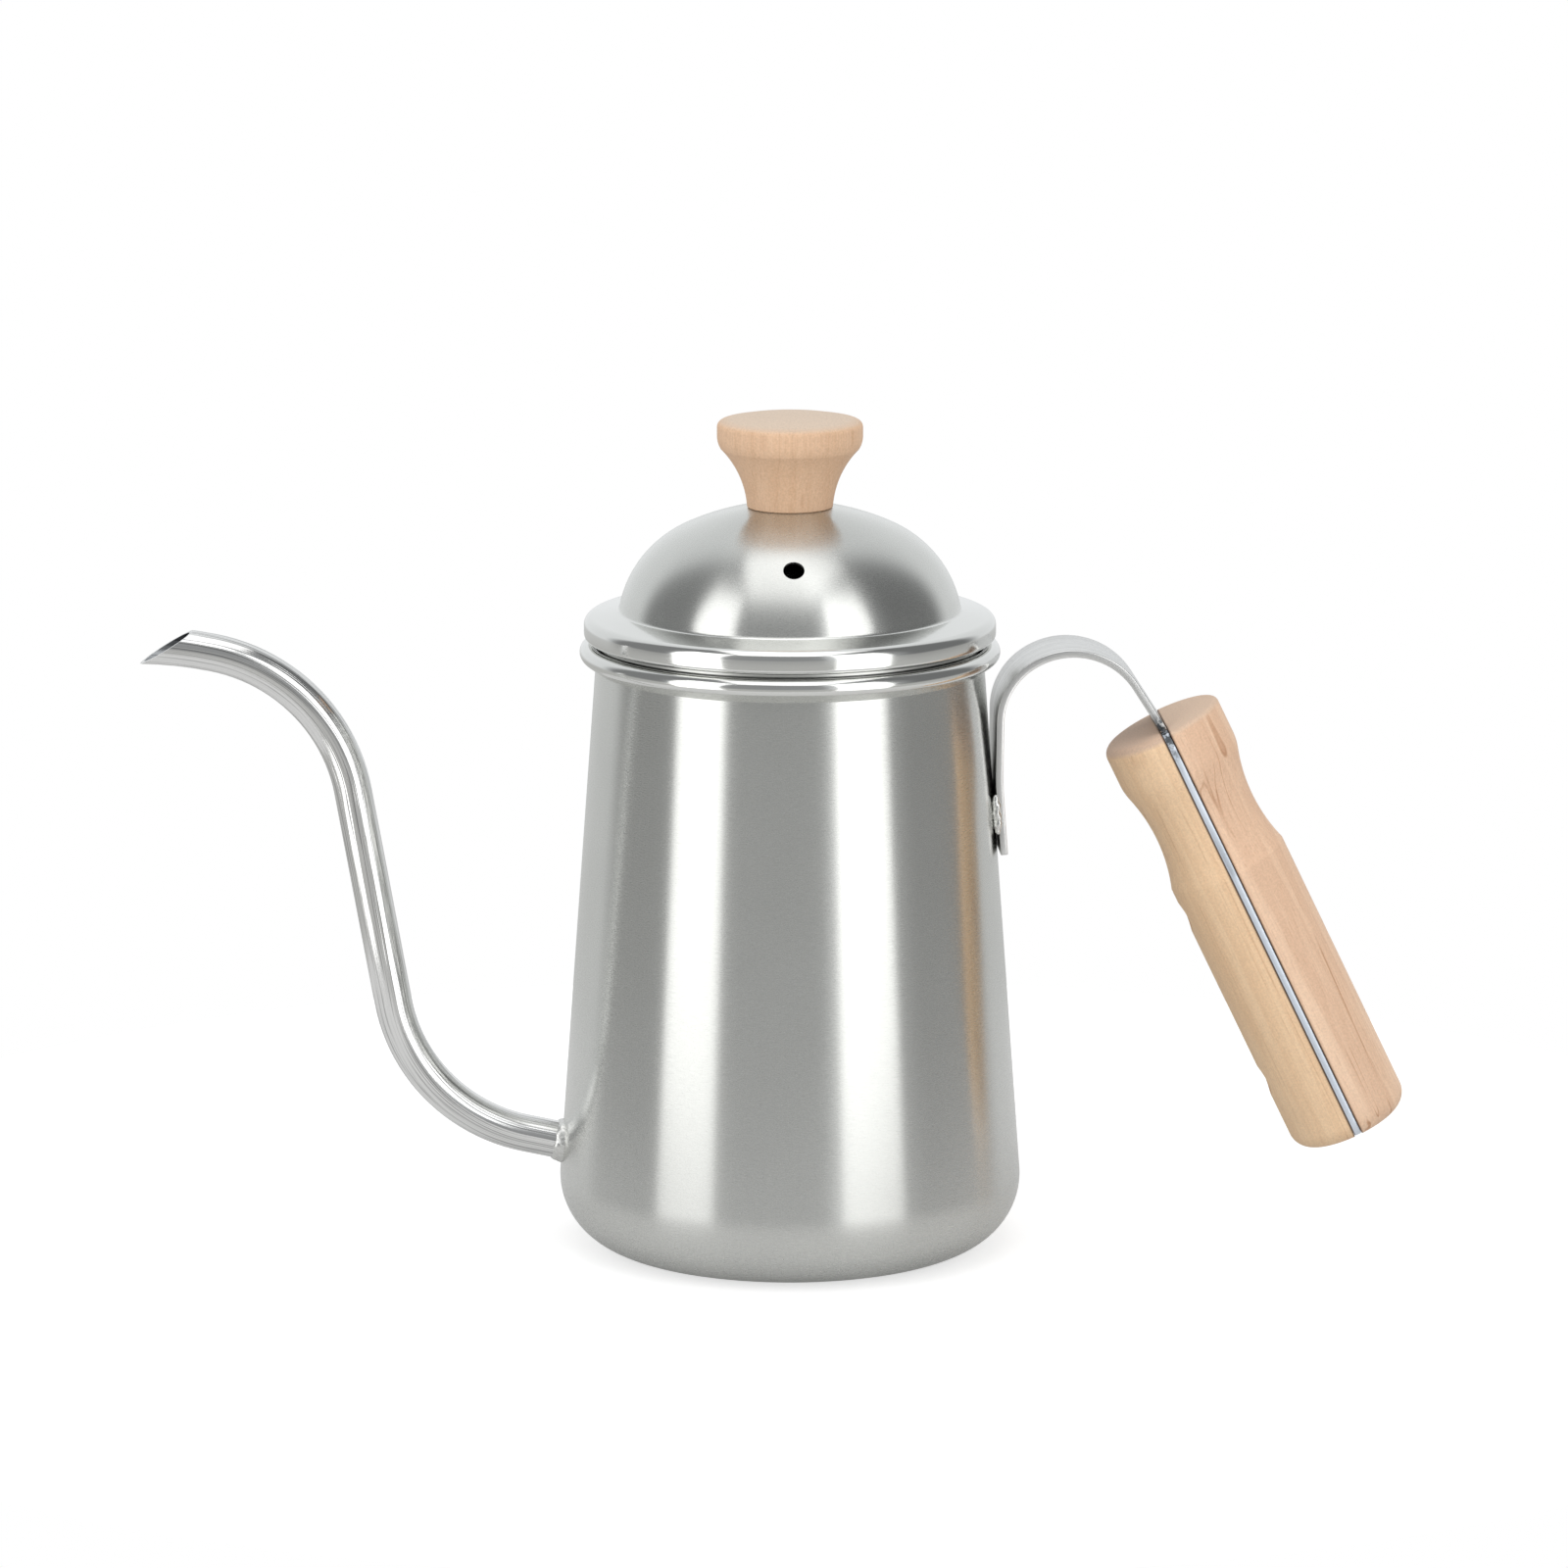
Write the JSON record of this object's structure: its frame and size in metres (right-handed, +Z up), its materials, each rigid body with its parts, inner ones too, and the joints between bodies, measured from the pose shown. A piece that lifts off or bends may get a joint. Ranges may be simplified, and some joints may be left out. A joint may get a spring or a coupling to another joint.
{
  "type": "gooseneck kettle",
  "caption": "Tapered steel pour-over kettle with a swan-neck spout, a turned wooden grip on a bent steel strap, and a domed lid that lifts off.",
  "frame": {"origin": "centre of the pot's flat underside, on the surface it stands on", "axes": "+Z up along the pot's axis, -X towards the spout, +X towards the grip, -Y is the side with the lid's steam vent"},
  "size_m": [0.2593, 0.095, 0.1725],
  "materials": {
    "satin_steel": "satin",
    "polished_steel": "polished",
    "strap_steel": "satin",
    "weld_steel": "as welded",
    "fastener_steel": "plain",
    "insert_brass": "turned",
    "beech_pale": "oiled beech",
    "beech_pink": "oiled beech",
    "beech_knob": "oiled beech"
  },
  "bodies": {
    "pot": {"pot_shell": "satin_steel", "base_pan": "satin_steel", "spout_tube": "polished_steel", "spout_weld": "weld_steel", "handle_strap": "strap_steel", "handle_welds": "weld_steel", "grip_inner_half": "beech_pale", "grip_outer_half": "beech_pink", "grip_screws": "fastener_steel", "grip_inserts": "insert_brass"},
    "lid": {"lid_shell": "satin_steel", "lid_skirt": "polished_steel", "knob": "beech_knob", "knob_insert": "insert_brass", "knob_screw": "fastener_steel", "knob_washer": "fastener_steel"}
  },
  "joints": [
    {"name": "lid_lift", "type": "slide", "parent": "pot", "child": "lid", "axis": [0, 0, 1], "range_m": [0, 0.04]}
  ]
}
